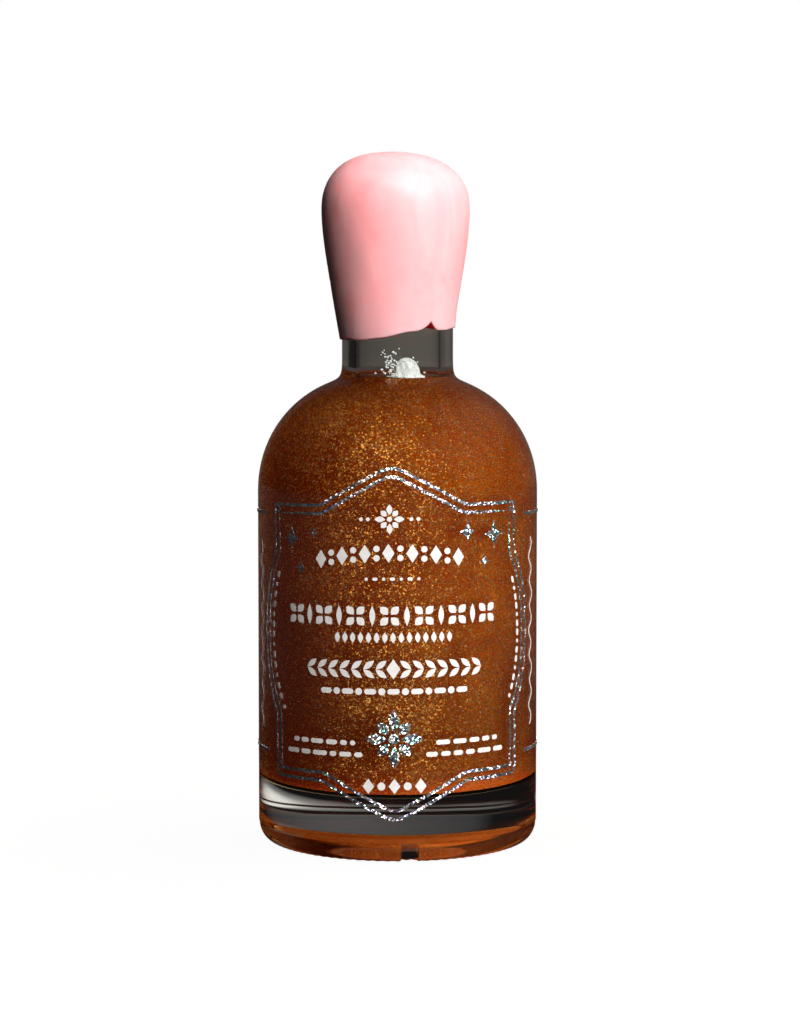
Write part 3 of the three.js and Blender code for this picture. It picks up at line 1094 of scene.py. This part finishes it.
def stroke(path, width, closed=False):
    """A strip of even width along a path, as one four-cornered face for each step."""
    path = [np.array(p, float) for p in path]
    count = len(path)
    sides = []
    for i, here in enumerate(path):
        before = path[i - 1] if closed or i > 0 else here
        after = path[(i + 1) % count] if closed or i < count - 1 else here
        steps = [s / np.linalg.norm(s) for s in (here - before, after - here) if np.linalg.norm(s) > 1e-9]
        along = sum(steps) / np.linalg.norm(sum(steps))
        mitre = 1 / max(0.5, float(np.dot(along, steps[0])))
        across = np.array([along[1], -along[0]]) * width / 2 * mitre
        sides.append((tuple(here + across), tuple(here - across)))
    if closed:
        sides.append(sides[0])
    return [[a[0], b[0], b[1], a[1]] for a, b in zip(sides, sides[1:])]


def rounded(corners, radius):
    """A closed path through corners, each cut by a small curve of its own or the common radius."""
    path = []
    for i, corner in enumerate(corners):
        here = np.array(corner[:2], float)
        size = corner[2] if len(corner) > 2 else radius
        before = np.array(corners[i - 1][:2], float)
        after = np.array(corners[(i + 1) % len(corners)][:2], float)
        start = here + (before - here) / np.linalg.norm(before - here) * size
        end = here + (after - here) / np.linalg.norm(after - here) * size
        for t in np.linspace(0, 1, 6):
            path.append(tuple((1 - t) ** 2 * start + 2 * t * (1 - t) * here + t * t * end))
    return path


def inset_path(path, distance):
    """The same closed path, moved inwards."""
    path = [np.array(p, float) for p in path]
    count = len(path)
    moved = []
    for i, here in enumerate(path):
        before, after = path[i - 1], path[(i + 1) % count]
        along = (after - before) / np.linalg.norm(after - before)
        step = (here - before) / max(np.linalg.norm(here - before), 1e-9)
        mitre = 1 / max(0.6, float(np.dot(along, step)))
        moved.append(tuple(here + np.array([-along[1], along[0]]) * distance * mitre))
    return moved


def print_piece(name, polygons, material):
    """Flat shapes on the label, divided finely, laid round the bottle and given a thickness."""
    shape = bmesh.new()
    for polygon in polygons:
        shape.faces.new([shape.verts.new((x, y, 0)) for x, y in polygon])
    bmesh.ops.remove_doubles(shape, verts=shape.verts, dist=1e-4)
    bmesh.ops.recalc_face_normals(shape, faces=shape.faces)
    for face in shape.faces:
        if face.normal.z < 0:
            face.normal_flip()
    bmesh.ops.triangulate(shape, faces=shape.faces)
    low_u = min(v.co.x for v in shape.verts)
    high_u = max(v.co.x for v in shape.verts)
    cuts = [((u, 0, 0), (1, 0, 0)) for u in np.arange(math.ceil(low_u), high_u, PRINT_STEP)]
    cuts += [((0, v, 0), (0, 1, 0)) for v in np.arange(SHOULDER_Z, PANEL["top"], PRINT_STEP)]
    for place, normal in cuts:
        geometry = shape.verts[:] + shape.edges[:] + shape.faces[:]
        bmesh.ops.bisect_plane(shape, geom=geometry, dist=1e-5, plane_co=place, plane_no=normal)
    shape.verts.index_update()
    flat = np.array([v.co[:2] for v in shape.verts])
    base = FILM_GAP + FILM_THICKNESS + INK_LIFT
    top = on_bottle(flat[:, 0], flat[:, 1], base + INK_THICKNESS)
    low = on_bottle(flat[:, 0], flat[:, 1], base)
    count = len(flat)
    faces = []
    for face in shape.faces:
        corners = [v.index for v in face.verts]
        faces.append(corners)
        faces.append([i + count for i in corners[::-1]])
        for loop in face.loops:
            if len(loop.edge.link_faces) == 1:
                a, b = loop.vert.index, loop.link_loop_next.vert.index
                faces.append([a, a + count, b + count, b])
    shape.free()
    piece = mesh_object(name, np.concatenate([top, low]), faces, [material], flat=True)
    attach(piece, "root")
    return piece


FRAME_SIDE = 30.3
FRAME_SIDE_BULGE = 5.1
FRAME_BULGE_MIDDLE = 48.7
FRAME_BULGE_HALF = 17.7
FRAME_TOP, FRAME_BOTTOM = 76.7, 17.6
FRAME_BEND = 16.2
FRAME_PEAK, FRAME_FOOT = 85.4, 9.2


def frame_side_arc(v):
    """Distance of the frame's side from the label's middle at height v."""
    share = np.clip(np.abs(v - FRAME_BULGE_MIDDLE) / FRAME_BULGE_HALF, 0, 1)
    return FRAME_SIDE + FRAME_SIDE_BULGE * (1 - share**2.2)


def frame_path():
    """The frame's outer line: a peak above and below, level shoulders, sides that swell in the middle."""
    right = [(0, FRAME_FOOT, 2.6), (FRAME_BEND, FRAME_BOTTOM, 0.8), (FRAME_SIDE, FRAME_BOTTOM, 2.0)]
    side = [(float(frame_side_arc(v)), v, 0.35) for v in np.linspace(31.0, 66.4, 16)]
    top = [(FRAME_SIDE, FRAME_TOP, 0.5), (FRAME_BEND, FRAME_TOP, 0.8), (0, FRAME_PEAK, 3.4)]
    half = right + side + top
    left = [(-u, v, size) for u, v, size in half[1:-1]][::-1]
    return rounded(half + left, 0.6)


def foil_shapes():
    """The double frame, two lines all round the band, the stars and the large rosette."""
    outer = frame_path()
    shapes = stroke(outer, FOIL_WIDTH, closed=True)
    shapes += stroke(inset_path(outer, FOIL_SPACING), FOIL_WIDTH, closed=True)
    around = math.pi * BODY_R
    for v in (74.2, 22.0):
        for side in (-1, 1):
            path = [(side * u, v - side * u * math.sin(LABEL_ROLL)) for u in np.arange(34.5, around - 2, 2.0)]
            shapes += stroke(path, FOIL_WIDTH)
    for cx, cy, width, height in (
        (-24.2, 69.5, 5.4, 6.6), (-17.8, 70.9, 2.4, 2.7), (-21.5, 63.2, 3.5, 4.2),
        (16.6, 70.9, 4.8, 5.4), (23.6, 70.1, 6.6, 7.0), (21.0, 64.4, 3.2, 3.2),
    ):
        shapes += star(cx, cy, width, height)
    return shapes + rosette(0, 27.0, 1.5, 6.3, 2.3, 1.15)


def rosette(cx, cy, inner, outer, width, heart):
    """Eight petals that radiate from a disc, long and short by turns."""
    shapes = []
    for i in range(8):
        reach = outer if i % 2 == 0 else lerp(inner, outer, 0.72)
        shapes += petal(cx, cy, (inner + reach) / 2, reach - inner, width, TURN * i / 8 + math.pi / 2)
    return shapes + disc(cx, cy, heart)


def row(left, right, count, shape_at):
    """Shapes spread evenly from left to right."""
    shapes = []
    for i in range(count):
        shapes += shape_at(i, lerp(left, right, i / (count - 1)))
    return shapes


def dashes(left, right, v, height, seed, gap=0.7):
    """A line of short bars of uneven length."""
    rng = np.random.default_rng(seed)
    shapes, u = [], left
    while u < right - 1:
        width = min(rng.uniform(1.4, 3.6), right - u)
        if width > height:
            shapes += bar(u + width / 2, v, width, height)
        u += width + gap
    return shapes


def ink_shapes():
    """Rows of plain shapes from the top down, then the borders at both sides and the back."""
    shapes = rosette(-0.5, 73.9, 0.9, 3.2, 1.25, 0.55)
    for u in (-6.6, -5.1, 4.1, 5.6):
        shapes += disc(u, 73.9, 0.42)

    def arch(i, u):
        v = 66.7 - 1.4 * (u / 16) ** 2
        if i % 2:
            return disc(u, v + 1.0, 0.68) + disc(u, v - 1.0, 0.68)
        return lozenge(u, v, 2.6, 4.0)

    shapes += row(-16.0, 14.4, 13, arch)
    shapes += row(-5.6, 5.6, 7, lambda i, u: bar(u, 61.2, 1.15 if i % 2 else 0.7, 0.7))

    def large(i, u):
        if i % 2:
            return lens(u, 53.35, 4.3, 1.25, math.pi / 2)
        return floret(u, 53.35, 2.8, 1.7)

    shapes += row(-22.8, 21.4, 13, large)
    shapes += row(-12.2, 12.2, 15, lambda _, u: lens(u, 48.7, 2.3, 1.15, math.pi / 2))

    def leaf_pair(_, u):
        lean = math.radians(38 if u < 0 else -38)
        return lens(u, 42.9, 3.0, 1.25, lean) + lens(u, 41.0, 3.0, 1.25, -lean)

    shapes += row(-18.6, -2.6, 7, leaf_pair) + row(2.6, 18.6, 7, leaf_pair)
    shapes += lozenge(0, 42.0, 3.0, 4.3)
    shapes += row(-15.0, 15.0, 13, lambda i, u: disc(u, 37.2, 0.75) if i % 2 else bar(u, 37.2, 2.6, 1.2))
    shapes += dashes(-24.0, -8.4, 26.1, 1.05, 3) + dashes(-26.0, -6.8, 23.6, 1.05, 4)
    shapes += dashes(9.0, 24.6, 26.1, 1.05, 5) + dashes(6.8, 26.2, 23.6, 1.05, 6)
    shapes += row(-5.6, 5.6, 5, lambda i, u: disc(u, 16.9, 0.85) if i % 2 else lozenge(u, 16.9, 2.5, 3.3))
    for side, low, high, width in ((-1, 32.6, 61.4, 0.26), (1, 34.6, 59.8, 0.42)):
        for i, v in enumerate(np.linspace(low, high, 14)):
            u = side * (float(frame_side_arc(v)) - 3.9)
            following = side * (float(frame_side_arc(v + 0.5)) - 3.9)
            shapes += bar(u, v, 1.5 if i % 3 else 0.9, 0.85, math.atan2(0.5, following - u))
        heights = np.arange(27, 68.5, 0.45)
        waves = 0.75 * np.sin(heights * 1.15) + 0.3 * np.sin(heights * 0.37)
        shapes += stroke(list(zip(side * 38.3 + waves, heights)), width)
    return shapes + back_panel()


def back_panel():
    """Small print at the back: a plain ruled box and lines of short bars."""
    middle = math.pi * BODY_R - 16
    left, right = middle - 26, middle - 2
    corners = [(left, 26), (right, 26), (right, 62), (left, 62)]
    shapes = stroke(rounded(corners, 0.8), 0.35, closed=True)
    for i, v in enumerate(np.arange(58.5, 28, -3.1)):
        end = right - 2 - (5 if i % 4 == 3 else 0)
        shapes += dashes(left + 2, end, v, 0.8, 40 + i, gap=0.6)
    for i, v in enumerate(np.arange(60, 30, -2.6)):
        shapes += dashes(-middle + 3, -middle + 22 + 2 * (i % 3), v, 0.7, 70 + i, gap=0.6)
    return shapes


# Camera, light and stage

CAMERA = {"distance": 540, "height": 107, "pitch": math.radians(3.55), "focal": 2411}
FRAME_LONG_SIDE = 1024
GLARE = {"x": 20, "y": 49, "radius": 22, "squash": (0.65, 1.5, 1)}
AXIS_SHIFT_PX = 2.5


def make_camera():
    data = bpy.data.cameras.new("camera")
    data.sensor_width = 36
    data.lens = CAMERA["focal"] / FRAME_LONG_SIDE * data.sensor_width
    data.clip_start = 0.01
    camera = new_object("camera", data)
    aside = AXIS_SHIFT_PX / CAMERA["focal"] * CAMERA["distance"]
    camera.location = (aside * MM, -CAMERA["distance"] * MM, CAMERA["height"] * MM)
    camera.rotation_euler = (math.pi / 2 - CAMERA["pitch"], 0, 0)
    bpy.context.scene.camera = camera


def area_light(name, pieces, azimuth, elevation, distance, size, power, target=(0, 0, 0.09)):
    """A square soft box that lights only the pieces. Its angles are in degrees from the front."""
    data = bpy.data.lights.new(name, "AREA")
    data.shape = "RECTANGLE"
    data.size, data.size_y = size, size
    data.energy = power
    light = new_object(name, data)
    a, e = math.radians(azimuth), math.radians(elevation)
    towards = Vector((math.sin(a) * math.cos(e), -math.cos(a) * math.cos(e), math.sin(e)))
    light.location = Vector(target) + towards * distance
    light.rotation_mode = "QUATERNION"
    light.rotation_quaternion = towards.to_track_quat("Z", "Y")
    group = bpy.data.collections.new(name + "_pieces")
    for piece in pieces:
        group.objects.link(piece)
    light.light_linking.receiver_collection = group
    for entry in group.collection_objects:
        entry.light_linking.link_state = "INCLUDE"


def make_lights(wax, print_and_froth, syrup, glittery):
    """Soft boxes from the right, above, behind and below, each for its own pieces, so glass stays clear."""
    syrupy = [syrup, *glittery]
    area_light("wax_box", [wax], 32, 34, 0.95, 0.6, 24.0)
    area_light("print_box", print_and_froth, 32, 28, 0.95, 0.6, 15.5)
    area_light("glitter_box", syrupy, 40, 0, 0.95, 0.5, 14.0, (0, 0, 0.06))
    area_light("table_box", syrupy, 40, -88, 0.105, 0.03, 0.028, (0.020, -0.014, 0.09))
    area_light("back_box", [wax, *print_and_froth], 180, 6, 1.2, 0.3, 9.0)
    area_light("glitter_top_box", glittery, 80, 84, 0.95, 0.6, 6.5)
    area_light("low_back_box", glittery, 190, -8, 1.0, 0.5, 12.0, (0, 0, 0.05))


def make_world():
    """White behind the bottle. It mirrors and bends a dim room, grey at the back, hazy up on the right."""
    world = bpy.data.worlds.new("studio")
    world.use_nodes = True
    tree = world.node_tree
    room = tree.nodes["Background"]
    direction = add(tree, "ShaderNodeTexCoord").outputs["Generated"]
    back = Vector((0.27, 1.0, 0.1)).normalized()
    shade = ramp(tree, vector_maths(tree, "DOT_PRODUCT", direction, back)["Value"], [
        (0.0, (0.009, 0.008, 0.008)),
        (0.70, (0.013, 0.012, 0.011)),
        (0.80, (0.072, 0.066, 0.061)),
        (0.93, (0.094, 0.088, 0.082)),
        (1.0, (0.128, 0.118, 0.108)),
    ])
    parts = add(tree, "ShaderNodeSeparateXYZ")
    tree.links.new(direction, parts.inputs[0])
    higher = ramp(tree, parts.outputs["Z"], [(0.03, (1.0, 0.93, 0.86)), (0.18, (0.60, 0.66, 0.72))])
    above = spread(tree, parts.outputs["Z"], 0.3, 0.6, "From")
    aside = spread(tree, parts.outputs["X"], 0.25, 0.6, "From")
    haze = ramp(tree, maths(tree, "MULTIPLY", aside, above), [(0.0, BLACK), (1.0, (0.16, 0.14, 0.12))])
    wall = mixed(tree, "MULTIPLY", shade, higher)
    tree.links.new(mixed(tree, "ADD", wall, haze), room.inputs["Color"])
    white = add(tree, "ShaderNodeBackground", Color=(1, 1, 1, 1), Strength=1.0)
    by_ray(tree, "Is Camera Ray", room, white, "World Output")
    bpy.context.scene.world = world


def make_floor():
    """A pale sweep with a faint painted shadow round the bottle. What glass bends towards it is dim, with
    painted shade darkest by the bottle, and one painted glare, a glowing patch behind it.
    """
    half = 3000.0
    corners = [(-half, -half, 0), (half, -half, 0), (half, half, 0), (-half, half, 0)]
    material = bpy.data.materials.new("pale_floor")
    material.use_nodes = True
    tree = material.node_tree
    tree.nodes.remove(tree.nodes["Principled BSDF"])
    distance = vector_maths(tree, "LENGTH", object_place(tree))["Value"]
    glow = add(tree, "ShaderNodeEmission")
    # Painted shadow: the floor's own glow is a little dimmer near the bottle.
    glow_with_painted_shadow = ramp(tree, distance, [(0.0, (0.965, 0.965, 0.965)), (0.4, (1.0, 1.0, 1.0))])
    tree.links.new(glow_with_painted_shadow, glow.inputs["Color"])
    pale = add(tree, "ShaderNodeBsdfDiffuse", Color=(0.85, 0.85, 0.85, 1))
    seen = add(tree, "ShaderNodeAddShader")
    feed(tree, seen, (glow.outputs[0], pale.outputs[0]))
    dim = add(tree, "ShaderNodeEmission")
    # Painted shade: what glass bends towards is darkest by the bottle.
    dim_painted_shade = ramp(tree, distance, [(0.13, (0.007, 0.006, 0.006)), (0.32, (0.060, 0.054, 0.049))])
    squash = GLARE["squash"]
    middle = (GLARE["x"] * squash[0] * MM, GLARE["y"] * squash[1] * MM, 0)
    from_glare = vector_maths(tree, "DISTANCE", object_place(tree, squash), middle)["Value"]
    # Painted glare: a glowing patch on the floor behind the bottle, not a lamp.
    glare = ramp(tree, spread(tree, from_glare, 0, GLARE["radius"] * MM, "From"), [
        (0.0, (1.0, 0.98, 0.91)),
        (0.34, (0.78, 0.76, 0.70)),
        (0.6, (0.26, 0.25, 0.23)),
        (1.0, BLACK),
    ])
    tree.links.new(mixed(tree, "ADD", dim_painted_shade, glare), dim.inputs["Color"])
    by_ray(tree, "Is Camera Ray", dim, seen)
    floor = mesh_object("floor", corners, [[0, 1, 2, 3]], [material], flat=True)
    floor.visible_shadow = False


def set_render_quality():
    scene = bpy.context.scene
    scene.view_settings.view_transform = "Standard"
    cycles = scene.cycles
    cycles.max_bounces = 16
    cycles.transmission_bounces = 16
    cycles.glossy_bounces = 6
    cycles.diffuse_bounces = 4
    cycles.transparent_max_bounces = 32
    cycles.volume_bounces = 0
    cycles.caustics_reflective = False
    cycles.caustics_refractive = False
    cycles.use_denoising = True


make_glass()
syrup = make_syrup()
glittery = [make_cloud(), *[make_glitter(name, **look) for name, look in GLITTER.items()]]
wax = make_wax()
make_film()
print_and_froth = [
    make_froth(),
    make_bubbles(),
    print_piece("label_foil", foil_shapes(), FOIL),
    print_piece("label_ink", ink_shapes(), INK),
]
make_camera()
make_lights(wax, print_and_froth, syrup, glittery)
make_world()
make_floor()
set_render_quality()
